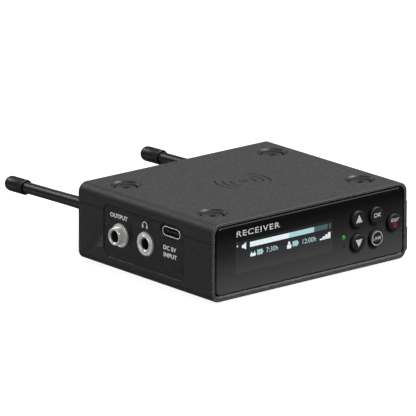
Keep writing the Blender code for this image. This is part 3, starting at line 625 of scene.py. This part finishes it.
def make_top_cover():
    cover = add("top_cover", case_body(), FINISHES["case_paint"])
    spots = stack_spots()
    wells = [rod("Z", (x, y, 0), WELL_RADIUS, WELL_LOW, CEILING + ROOT, 32) for x, y in spots]
    carve(cover, hollow() + [split_cutter(SPLIT_Z + SEAM / 2, -FAR)])
    carve(cover, [plate_opening()] + [recess_cutter(x, y) for x, y in spots], wells + screw_posts(True))
    carve(cover, engraved_mark())
    # faces inside the recesses take the darker copy of the paint: painted shade
    cover.data.materials.append(FINISHES["recess_painted_shade"])
    for polygon in cover.data.polygons:
        x, y, z = (value / SCALE for value in polygon.center)
        near = min(math.dist((x, y), spot) for spot in spots) < RECESS_RIM
        if near and HEIGHT - RECESS_WELL - 0.5 < z < HEIGHT - 0.15:
            polygon.material_index = 1
    soften(cover, CASE_BEVEL)
    settle(cover, "case", ["top_shell"])


def hinge_lug(low, high):
    """A knuckle of the door's hinge, on the lower edge of the case."""
    outline = arc(HINGE_X, HINGE_Z, LUG_RADIUS, 0, 180, 14)
    outline += [(HINGE_X - LUG_RADIUS, 0.8), (HINGE_X + 0.3, 0.8), (HINGE_X + 0.55, 2.2)]
    return prism("Y", outline, low, high)


def make_lower_case():
    lower = add("lower_case", case_body(), FINISHES["case_paint"])
    carve(lower, hollow() + [split_cutter(SPLIT_Z - SEAM / 2, HEIGHT + FAR)])
    door_y = (-HALF_D - PAST, DOOR_END_Y)
    door = box((DOOR_SIDE_X, HALF_W + 2 * PAST), door_y, (DOOR_SILL, HEIGHT))
    carve(lower, [door], screw_posts(False))
    cutters = [plate_opening(), rod("Y", (HINGE_X, 0, HINGE_Z), PIN_BORE, PIN_START, HALF_D, 20)]
    for x, y in stack_spots():
        cutters.append(rod("Z", (x, y, 0), FOOT_POCKET, -PAST, FOOT_POCKET_TOP, 48))
    head = [(0, -PAST), (SCREW_HEAD, -PAST), (SCREW_HEAD, SCREW_HEAD_TOP)]
    shank = [(SCREW_SHANK, SCREW_HEAD_TOP), (SCREW_SHANK, SCREW_END), (0, SCREW_END)]
    for x, y in screw_spots():
        cutters.append(turned("Z", (x, y, 0), head + shank, 32))
    carve(lower, cutters, [hinge_lug(low, high) for low, high in LUGS_Y])
    soften(lower, CASE_BEVEL)
    settle(lower, "case", ["bottom_shell"])


# ---------------------------------------------------------------- fastenings
def make_stacking_screws():
    """Screws in the recesses: a wide flat head with a dished middle and a hexagon socket."""
    shank, thick, corner = 1.5, 1.1, 0.35
    for name, (x, y) in zip(CORNERS, stack_spots()):
        node = f"stacking_screw_{name}"
        low, high = span(node)
        radius, top = (high[0] - low[0]) / 2, high[2]
        head = [
            (radius - corner * (1 - math.sin(t)), top - corner * (1 - math.cos(t)))
            for t in reversed(quarter())
        ]
        profile = [(0, low[2]), (shank, low[2]), (shank, top - thick), (radius, top - thick)] + head
        profile += [(1.75, top), (1.55, top - 0.12), (0, top - 0.12)]
        screw = add(node + "_detail", turned("Z", (x, y, 0), profile), FINISHES["disc_paint"])
        socket = [(x + u, y + v) for u, v in arc(0, 0, 1.2, 0, 300, 5)]
        carve(screw, [prism("Z", socket, top - 1.0, top + PAST)])
        soften(screw, 0.05)
        settle(screw, "case", [node])


def make_feet():
    for corner, (x, y) in zip(CORNERS, stack_spots()):
        node = f"foot_{corner}"
        low, high = span(node)
        radius = (high[0] - low[0]) / 2
        profile = [(0, low[2]), (0.9, low[2])]
        for step in range(3):
            ridge = 1.0 + step * 0.85
            profile += [(ridge, low[2] + 0.18), (ridge + 0.25, low[2] + 0.18), (ridge + 0.35, low[2])]
            profile += [(ridge + 0.75, low[2])]
        profile += [(radius - 0.55, low[2] + 0.12), (radius - 0.2, low[2] + 0.45), (radius, 0.0)]
        profile += [(radius, high[2]), (0, high[2])]
        foot = add(node + "_detail", turned("Z", (x, y, 0), profile), FINISHES["soft_rubber"])
        settle(foot, "case", [node])


# ---------------------------------------------------------------- front
def make_fascia():
    gap, low_gap = FASCIA_GAP, FASCIA_LOW_GAP
    rings = [
        (PANEL_FACE, opening(gap + 0.32, low_gap + 0.3)),
        (PANEL_FACE + 0.09, opening(gap + 0.2, low_gap + 0.18)),
        (PANEL_FACE + 0.3, opening(gap, low_gap)),
        (PANEL_HIGH[1], opening(gap, low_gap)),
    ]
    fascia = add("front_fascia", loft("Y", rings), FINISHES["fascia_gloss"])
    holes = [(f"button_{name}", KEY_HOLE, 64) for name in BUTTONS]
    holes += [("status_led", 0.9, 32), ("sensor_lens", 0.6, 32)]
    cutters = []
    for node, radius, steps in holes:
        x, _, z = middle(node)
        cutters.append(rod("Y", (x, 0, z), radius, PANEL_FACE - FAR, PANEL_HIGH[1] + PAST, steps))
    carve(fascia, cutters)
    soften(fascia, 0.05)
    settle(fascia, "case", ["front_panel"])


def rect(x0, z0, x1, z1):
    return [(x0, z0), (x1, z0), (x1, z1), (x0, z1)]


def lettering(name, text, size, centre, facing, finish, body, bold=0.0, spacing=1.0, tall=1.0, wide=1.0):
    """Printed words as thin raised letters, centred on a point, facing -Y or -X."""
    curve = bpy.data.curves.new(name, "FONT")
    curve.body = text
    curve.size = size * SCALE
    curve.align_x = "CENTER"
    curve.align_y = "CENTER"
    curve.extrude = 0.012 * SCALE
    curve.offset = bold * SCALE
    curve.space_character = spacing
    curve.resolution_u = 4
    made = bpy.data.objects.new(name + "_curve", curve)
    bpy.context.scene.collection.objects.link(made)
    bpy.context.view_layer.update()
    mesh = bpy.data.meshes.new_from_object(made.evaluated_get(bpy.context.evaluated_depsgraph_get()))
    bpy.data.objects.remove(made)
    mesh.name = name
    turn = {"-Y": Matrix.Rotation(math.pi / 2, 4, "X")}
    turn["-X"] = Matrix.Rotation(-math.pi / 2, 4, "Z") @ turn["-Y"]
    mesh.transform(Matrix.Diagonal((wide, tall, 1, 1)))
    mesh.transform(turn[facing])
    mesh.transform(Matrix.Translation(Vector(centre) * SCALE))
    mesh.materials.clear()
    mesh.materials.append(finish)
    obj = bpy.data.objects.new(name, mesh)
    bpy.context.scene.collection.objects.link(obj)
    settle(obj, body)
    return obj


def print_block(name, outlines, finish):
    """Flat shapes on the display, from outlines of (x, z) points."""
    near, far = PANEL_FACE - PRINT_PROUD - 0.01, PANEL_FACE + PRINT_PROUD
    shape = merged(*[prism("Y", outline, near, far) for outline in outlines])
    settle(add(name, shape, FINISHES[finish]), "case")


def level_bar():
    """The bar across the display, in three brightnesses."""
    white = [rect(-26.1, BAR_LOW, -9.4, BAR_HIGH)]
    pale = [rect(-9.4, BAR_LOW, 1.3, BAR_HIGH)]
    teal = [rect(1.3, BAR_LOW, 7.1, BAR_HIGH), rect(7.75, BAR_LOW, 8.43, BAR_HIGH)]
    return white, pale, teal


def speaker_sign():
    back, neck, flare = -29.5, -28.9, -27.75
    return [(back, 16.45), (neck, 16.45), (flare, 15.75), (flare, 18.2), (neck, 17.5), (back, 17.5)]


def battery_cells(left, low=12.95, high=14.75):
    """A battery's three cells and its tip."""
    step, width = 0.78, 0.64
    cells = []
    for number in range(3):
        start = left + number * step
        cells.append(rounded(start, low, start + width, high, 0.12, steps=3))
    return cells + [rect(left + 2.27, 13.5, left + 2.55, 14.2)]


def make_screen():
    """The lit picture: a level bar, two battery readings and signal bars."""
    white, pale, teal = level_bar()
    white += [speaker_sign(), rect(-31.65, 17.15, -31.15, 17.65)]
    teal.append(rect(-31.65, 18.15, -31.15, 18.6))
    transmitter = [rounded(-25.95, 12.95, -23.6, 13.95, 0.3, steps=3)]
    transmitter += [rect(-25.6, 13.9, -25.3, 14.5), rect(-24.25, 13.9, -23.95, 14.5)]
    person = [rounded(-10.3, 12.6, -8.5, 14.0, 0.3, steps=3)]
    person.append(rounded(-9.9, 14.05, -8.9, 14.95, 0.4, steps=3))
    white += transmitter + person
    pale += battery_cells(-23.0) + battery_cells(-7.9)
    for step in range(4):
        left = 3.8 + step * 1.17
        white.append(rect(left, 12.9, left + 1.05, 13.4 + step * 0.52))
    for tone, outlines in (("white", white), ("pale", pale), ("teal", teal)):
        print_block(f"screen_{tone}_signs", outlines, f"screen_{tone}")
    y = PANEL_FACE - PRINT_PROUD
    times = (("screen_time_a", "7:30h", -16.65, 13.85), ("screen_time_b", "12:00h", -0.9, 13.75))
    for name, text, x, z in times:
        words = lettering(name, text, 2.35, (x, y, z), "-Y", FINISHES["screen_pale"], "case")


def make_window():
    """The display's window, a thin glassy film."""
    outline = rounded(-32.2, 8.2, 9.3, 18.9, 0.15, steps=3)
    film = prism("Y", outline, PANEL_FACE - 0.012, PANEL_FACE + PRINT_PROUD)
    settle(add("display_window", film, FINISHES["window_tint_and_reflection"]), "case")


def make_front_word():
    spot = (-22.75, PANEL_FACE - PRINT_PROUD, 21.3)
    print_style = {"bold": 0.045, "spacing": 1.2, "tall": 1.02, "wide": 1.4}
    lettering("front_word", "RECEIVER", 2.65, spot, "-Y", FINISHES["legend_white"], "case", **print_style)


def button_cap(name):
    """A round cap with a rounded edge and a shallow dish, and its skirt behind the fascia."""
    node = f"button_{name}"
    low, high = span(node)
    x, _, z = middle(node)
    face, skirt = low[1], KEY_RADIUS + KEY_SKIRT
    edge = [
        (KEY_RADIUS - 0.6 * (1 - math.cos(t)), face + 0.5 * (1 - math.sin(t)))
        for t in (math.pi / 2, 1.2, 0.8, 0.4, 0)
    ]
    dish = [(0, face + 0.05), (1.4, face + 0.04), (2.1, face + 0.01)]
    back = [(KEY_RADIUS, KEY_SKIRT_Y), (skirt, KEY_SKIRT_Y), (skirt, high[1]), (0, high[1])]
    cap = add(f"{node}_cap", turned("Y", (x, 0, z), dish + edge + back), FINISHES["soft_rubber"])
    settle(cap, node, [node])
    return x, face, z


def sign(name, body, shapes, finish):
    settle(add(name, merged(*shapes), FINISHES[finish]), body)


def make_buttons():
    spots = {name: button_cap(name) for name in BUTTONS}
    for name, way in (("up", 1), ("down", -1)):
        x, face, z = spots[name]
        triangle = [(x - 1.48, z - way * 1.1), (x + 1.48, z - way * 1.1), (x, z + way * 1.5)]
        shapes = [prism("Y", triangle, face - PRINT_PROUD, face + 0.08)]
        sign(f"sign_{name}", f"button_{name}", shapes, "legend_white")
    words = (("set", "OK", 2.1, 0.0), ("sync", "LINK", 1.6, 0.0), ("escape", "EXIT", 1.6, 0.75))
    for name, text, size, rise in words:
        x, face, z = spots[name]
        lettering(
            f"word_{name}", text, size, (x, face - 0.01, z + rise), "-Y", FINISHES["legend_white"],
            f"button_{name}", 0.03, 1.05,
        )
    x, face, z = spots["sync"]
    near, far = face - PRINT_PROUD, face + 0.2
    band = [(2.15, near), (2.4, near), (2.4, far), (2.15, far)]
    sign("sign_sync_ring", "button_sync", [turned("Y", (x, 0, z), band)], "legend_white")
    x, face, z = spots["escape"]
    centre = z - 0.95
    ring = arc(x, centre, 0.85, 120, 420, 24) + arc(x, centre, 0.5, 420, 120, 24)
    bar = rect(x - 0.15, centre + 0.1, x + 0.15, centre + 0.95)
    power = [prism("Y", outline, face - PRINT_PROUD, face + 0.08) for outline in (ring, bar)]
    sign("sign_power", "button_escape", power, "legend_red")


# ---------------------------------------------------------------- left side
def usb_outline(grow, steps=14):
    low, high = span("usb_shell")
    corner = (high[2] - low[2]) / 2 + grow - 0.01
    return rounded(low[1] - grow, low[2] - grow, high[1] + grow, high[2] + grow, corner, steps=steps)


def make_plate():
    outline = rounded(PLATE_LOW[1], PLATE_LOW[2], PLATE_HIGH[1], PLATE_HIGH[2], 2.85)
    plate = add("socket_plate", prism("X", outline, PLATE_FACE, PLATE_HIGH[0]), FINISHES["plate_plastic"])
    cutters = []
    for jack in JACKS:
        _, y, z = middle(f"{jack}_sleeve")
        cutters.append(rod("X", (0, y, z), 3.05, PLATE_FACE - FAR, PLATE_HIGH[0] + PAST))
    usb_hole = [
        (PLATE_FACE - 0.4, usb_outline(1.35)),
        (PLATE_FACE + 0.05, usb_outline(0.85)),
        (PLATE_FACE + 0.4, usb_outline(0.08)),
        (PLATE_HIGH[0] + PAST, usb_outline(0.08)),
    ]
    cutters.append(loft("X", usb_hole))
    carve(plate, cutters)
    soften(plate, 0.08)
    settle(plate, "case", ["connector_plate"])


def make_jack(jack):
    """A threaded nickel sleeve and its slotted ring nut."""
    low, high = span(f"{jack}_sleeve")
    _, y, z = middle(f"{jack}_sleeve")
    front, back, radius = low[0], high[0], (high[1] - low[1]) / 2
    profile = [(1.8, back), (1.8, front + 0.75), (1.95, front + 0.45), (2.3, front + 0.06), (2.42, front)]
    profile += [(radius - 0.25, front), (radius - 0.12, front + 0.06), (radius - 0.02, front + 0.2)]
    pitch, at = 0.5, front + 0.45
    while at < PLATE_FACE - 0.9:
        profile += [(radius, at), (radius - 0.2, at + pitch * 0.5), (radius, at + pitch)]
        at += pitch
    profile += [(radius, at + 0.1), (radius, back)]
    sleeve = add(f"{jack}_sleeve_detail", turned("X", (0, y, z), profile, 72), FINISHES["socket_nickel_glow"])
    sleeve.data.materials.append(FINISHES["socket_bore"])
    for polygon in sleeve.data.polygons:
        if math.hypot(polygon.center.y / SCALE - y, polygon.center.z / SCALE - z) < 1.9:
            polygon.material_index = 1
    settle(sleeve, "case", [f"{jack}_sleeve"])
    low, high = span(f"{jack}_nut")
    front, back, outer = low[0], high[0], (high[1] - low[1]) / 2
    ring = [
        (radius + 0.06, back),
        (radius + 0.06, front + 0.2),
        (radius + 0.22, front),
        (outer - 0.3, front),
        (outer - 0.08, front + 0.1),
        (outer, front + 0.32),
        (outer, back),
    ]
    nut = add(f"{jack}_nut_detail", turned("X", (0, y, z), ring, 72), FINISHES["socket_nickel_glow"])
    slot = box((front - 0.5, front + 0.42), (-0.5, 0.5), (-6, 6))
    bmesh.ops.translate(spun(slot, (0, 0, 0), "X", -30), verts=slot.verts, vec=(0, y, z))
    carve(nut, [slot])
    soften(nut, 0.04)
    settle(nut, "case", [f"{jack}_nut"])


def make_usb():
    low, high = span("usb_shell")
    front = low[0] + 0.35
    shell = add("usb_shell_detail", prism("X", usb_outline(0), front, high[0]), FINISHES["bright_nickel"])
    carve(shell, [prism("X", usb_outline(-0.3), front - 1, high[0] - 0.4)])
    soften(shell, 0.06)
    settle(shell, "case", ["usb_shell"])


def make_side_signs():
    x = PLATE_FACE - 0.01
    _, mic_y, mic_z = middle("mic_jack_sleeve")
    _, phones_y, phones_z = middle("headphone_jack_sleeve")
    _, usb_y, usb_z = middle("usb_shell")
    white = FINISHES["side_white"]
    words = (
        ("word_output", "OUTPUT", mic_y + 1.0, mic_z + 6.0, 1.25),
        ("word_supply_a", "DC 5V", usb_y + 0.4, usb_z - 5.5, 1.25),
        ("word_supply_b", "INPUT", usb_y + 0.1, usb_z - 7.9, 1.3),
    )
    for name, text, y, z, wide in words:
        lettering(name, text, 1.75, (x, y, z), "-X", white, "case", 0.06, 1.04, 1.12, wide)
    y, z = phones_y + 0.7, phones_z + 6.0
    band = arc(y, z, 1.3, -8, 188, 20) + arc(y, z, 1.02, 188, -8, 20)
    shapes = [prism("X", band, x - 0.01, x + 0.05)]
    for side in (-1, 1):
        cup = rounded(y + side * 1.05 - 0.34, z - 0.95, y + side * 1.05 + 0.34, z + 0.15, 0.22, steps=4)
        shapes.append(prism("X", cup, x - 0.015, x + 0.05))
    sign("sign_headphones", "case", shapes, "side_white")


# ---------------------------------------------------------------- antennas
def antenna_rod(side, pivot):
    """The eye on the hinge pin, the neck and the tapered rod, as one piece."""
    x, y, z = pivot
    node = f"antenna_rod_{side}"
    eye = add(f"{node}_detail", turned("X", pivot, EYE_PROFILE, 48), FINISHES["aerial_rubber"])
    neck_x, neck_z = (x - NECK_HALF_X, x + NECK_HALF_X), (z - NECK_HALF_Z, z + NECK_HALF_Z)
    neck = spun(box(neck_x, (y, y + NECK_LENGTH), neck_z), pivot, "X", WHIP_DROOP)
    end = CAP_START + CAP_REACH
    taper = [(radius, y + along) for radius, along in WHIP_TAPER]
    whip = [(0, taper[0][1])] + taper + [(WHIP_RADIUS, y + 24), (WHIP_RADIUS, end), (0, end)]
    bore = rod("X", pivot, EYE_BORE, -4, 4, 24)
    carve(eye, [bore], [neck, spun(turned("Y", (x, 0, z), whip, 48), pivot, "X", WHIP_DROOP)])
    soften(eye, 0.12, 3)
    settle(eye, f"antenna_whip_{side}", [node])


def antenna_cap(side, pivot):
    """The rounded cap over the rod's end, with a bead and a groove at its rim."""
    x, _, z = pivot
    node = f"antenna_cap_{side}"
    base = CAP_TIP - CAP_RADIUS
    dome = [(CAP_RADIUS * math.cos(t), base + CAP_RADIUS * math.sin(t)) for t in quarter(10)[:-1]]
    profile = [(0, CAP_START + 6.2), (2.05, CAP_START + 6.2), (2.05, CAP_START + 0.1), (2.15, CAP_START)]
    profile += [(radius, CAP_START + along) for radius, along in CAP_RIM] + dome + [(0, CAP_TIP)]
    shape = spun(turned("Y", (x, 0, z), profile), pivot, "X", WHIP_DROOP)
    cap = add(f"{node}_detail", shape, FINISHES["aerial_rubber"])
    settle(cap, f"antenna_whip_{side}", [node])


def make_antenna(side):
    joint = next(j for j in frame["joints"] if j["name"] == f"antenna_{side}_tilt")
    pivot = [value / SCALE for value in joint["pos_m"]]
    antenna_rod(side, pivot)
    antenna_cap(side, pivot)


# ---------------------------------------------------------------- right side
def make_latch_grip():
    """Raised ribs on the sliding latch, where a thumb pushes it."""
    low, high = span("door_latch")
    ribs = []
    for step in range(9):
        y = -4.0 + step * 1.0
        outline = rounded(y - 0.25, low[2] + 2.0, y + 0.25, high[2] - 2.6, 0.24, steps=5)
        ribs.append(prism("X", outline, high[0] - 0.1, high[0] + 0.18))
    grip = add("latch_grip", merged(*ribs), FINISHES["case_paint"])
    soften(grip, 0.06)
    settle(grip, "door_latch")


# ---------------------------------------------------------------- CAD nodes that stay
def dress_cad_nodes():
    slots = {entry["node"]: entry["material_slot"] for entry in frame["record"]["subparts"]}
    bevelled = {
        "battery_door": 0.12,
        "door_latch": 0.12,
        "rear_panel": 0.1,
        "antenna_bushing_left": 0.1,
        "antenna_bushing_right": 0.1,
        "antenna_knuckle_left": 0.15,
        "antenna_knuckle_right": 0.15,
        "rf_shield_front": 0.15,
        "rf_shield_rear": 0.15,
    }
    for name, obj in frame["nodes"].items():
        if obj.hide_render:
            continue
        obj.data.materials.clear()
        obj.data.materials.append(FINISHES[slots[name]])
        obj.data.shade_smooth()
        obj.data.set_sharp_from_angle(angle=math.radians(32))
        if name in bevelled:
            soften(obj, bevelled[name], 2)


# ---------------------------------------------------------------- studio
def area_light(name, spot, size, power, rays):
    """A soft light facing the object, seen by diffuse rays, glossy rays or both."""
    data = bpy.data.lights.new(name, "AREA")
    data.shape = "RECTANGLE"
    data.size, data.size_y = size
    data.energy = power
    obj = bpy.data.objects.new(name, data)
    obj.location = spot
    obj.rotation_euler = (Vector(LIGHT_TARGET) - Vector(spot)).to_track_quat("-Z", "Y").to_euler()
    obj.visible_diffuse, obj.visible_glossy = rays
    bpy.context.scene.collection.objects.link(obj)


def make_floor():
    """Pale paper under the object, which lights nothing and isn't mirrored."""
    bm = bmesh.new()
    bmesh.ops.create_grid(bm, x_segments=1, y_segments=1, size=FLOOR_HALF)
    mesh = bpy.data.meshes.new("floor")
    bm.to_mesh(mesh)
    bm.free()
    made = Finish("floor_paper")
    made.colour(made.ramp(made.noise(3.0, 2.0), [(0.3, 0.56), (0.7, 0.6)]))
    made.fixed(Roughness=0.9, Specular_IOR_Level=0.1)
    made.fixed(Emission_Color=(1.0, 1.0, 1.0, 1.0), Emission_Strength=FLOOR_GLOW)
    mesh.materials.append(made.material)
    floor = bpy.data.objects.new("floor", mesh)
    floor.location.z = FLOOR_Z * SCALE
    floor.visible_diffuse = False
    floor.visible_glossy = False
    bpy.context.scene.collection.objects.link(floor)


def make_world():
    """A white backdrop for the camera that lights the object only a little."""
    world = bpy.data.worlds.new("studio")
    bpy.context.scene.world = world
    world.use_nodes = True
    tree = world.node_tree
    path = tree.nodes.new("ShaderNodeLightPath")
    level = tree.nodes.new("ShaderNodeMapRange")
    level.inputs["To Min"].default_value = WORLD_LIGHT
    level.inputs["To Max"].default_value = WORLD_SEEN
    tree.links.new(path.outputs["Is Camera Ray"], level.inputs["Value"])
    tree.links.new(level.outputs["Result"], tree.nodes["Background"].inputs["Strength"])
    tree.nodes["Background"].inputs["Color"].default_value = (1.0, 1.0, 1.0, 1.0)


def make_camera():
    """The photograph's view: front left, a little from above, with a long lens."""
    azimuth, elevation = math.radians(CAMERA_AZIMUTH), math.radians(CAMERA_ELEVATION)
    roll, level = math.radians(CAMERA_ROLL), math.cos(elevation)
    right = Vector((math.cos(azimuth), math.sin(azimuth), 0))
    back = Vector((math.sin(azimuth) * level, -math.cos(azimuth) * level, math.sin(elevation)))
    up = back.cross(right)
    turned_right = right * math.cos(roll) + up * math.sin(roll)
    turned_up = up * math.cos(roll) - right * math.sin(roll)
    matrix = Matrix((turned_right, turned_up, back)).transposed().to_4x4()
    matrix.translation = Vector(CAMERA_TARGET) + back * CAMERA_DISTANCE
    data = bpy.data.cameras.new("camera")
    data.sensor_width = CAMERA_SENSOR
    data.lens = CAMERA_LENS
    data.clip_end = 100.0
    camera = bpy.data.objects.new("camera", data)
    camera.matrix_world = matrix
    bpy.context.scene.collection.objects.link(camera)
    bpy.context.scene.camera = camera


def main():
    make_top_cover()
    make_lower_case()
    make_stacking_screws()
    make_feet()
    make_fascia()
    make_window()
    make_screen()
    make_front_word()
    make_buttons()
    make_plate()
    for jack in JACKS:
        make_jack(jack)
    make_usb()
    make_side_signs()
    for side in ("left", "right"):
        make_antenna(side)
    make_latch_grip()
    dress_cad_nodes()
    make_floor()
    make_world()
    for light in LIGHTS:
        area_light(*light)
    make_camera()
    bpy.context.scene.view_settings.view_transform = "Standard"


main()
